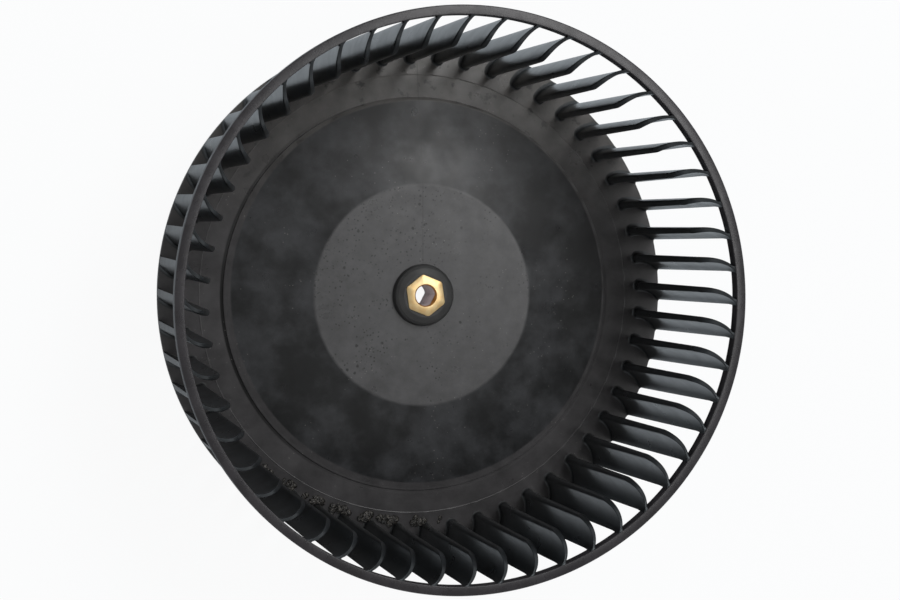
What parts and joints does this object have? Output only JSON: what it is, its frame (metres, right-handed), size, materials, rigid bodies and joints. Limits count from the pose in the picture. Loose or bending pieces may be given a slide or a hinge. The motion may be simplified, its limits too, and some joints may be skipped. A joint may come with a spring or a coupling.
{
  "type": "blower motor wheel",
  "caption": "Forward-curved single-inlet fan wheel: a ring of curved blades between a narrow front ring and a dished back plate, with a brass-bushed hub that drives it from the motor shaft.",
  "frame": {"origin": "on the shaft axis, in the plane of the back plate's rim and of the hub's back face, on which the wheel lies", "axes": "+Z along the shaft from the back plate to the open inlet ring; +X and +Y across the wheel, +X as placed by the first blade's angle; the wheel lies on its back"},
  "size_m": [0.21, 0.21, 0.0834],
  "materials": {
    "black_plastic": "moulded black glass-filled nylon, semi-gloss on the blade faces",
    "ring_plastic": "the same black plastic, a dull machined-looking front face",
    "brass": "turned brass hexagon bar, bright face",
    "putty": "hand-pressed dark balancing putty"
  },
  "bodies": {
    "root": {"front_ring": "ring_plastic", "plate_rim": "black_plastic", "plate_disc": "black_plastic", "hub_boss": "black_plastic", "hub_bush": "brass", "balance_putty": "putty", "blade_01": "black_plastic", "blade_02": "black_plastic", "blade_03": "black_plastic", "blade_04": "black_plastic", "blade_05": "black_plastic", "blade_06": "black_plastic", "blade_07": "black_plastic", "blade_08": "black_plastic", "blade_09": "black_plastic", "blade_10": "black_plastic", "blade_11": "black_plastic", "blade_12": "black_plastic", "blade_13": "black_plastic", "blade_14": "black_plastic", "blade_15": "black_plastic", "blade_16": "black_plastic", "blade_17": "black_plastic", "blade_18": "black_plastic", "blade_19": "black_plastic", "blade_20": "black_plastic", "blade_21": "black_plastic", "blade_22": "black_plastic", "blade_23": "black_plastic", "blade_24": "black_plastic", "blade_25": "black_plastic", "blade_26": "black_plastic", "blade_27": "black_plastic", "blade_28": "black_plastic", "blade_29": "black_plastic", "blade_30": "black_plastic", "blade_31": "black_plastic", "blade_32": "black_plastic", "blade_33": "black_plastic", "blade_34": "black_plastic", "blade_35": "black_plastic", "blade_36": "black_plastic", "blade_37": "black_plastic", "blade_38": "black_plastic", "blade_39": "black_plastic", "blade_40": "black_plastic", "blade_41": "black_plastic", "blade_42": "black_plastic", "blade_43": "black_plastic", "blade_44": "black_plastic", "blade_45": "black_plastic", "blade_46": "black_plastic", "blade_47": "black_plastic", "blade_48": "black_plastic", "blade_49": "black_plastic", "blade_50": "black_plastic", "blade_51": "black_plastic", "blade_52": "black_plastic"}
  },
  "joints": []
}
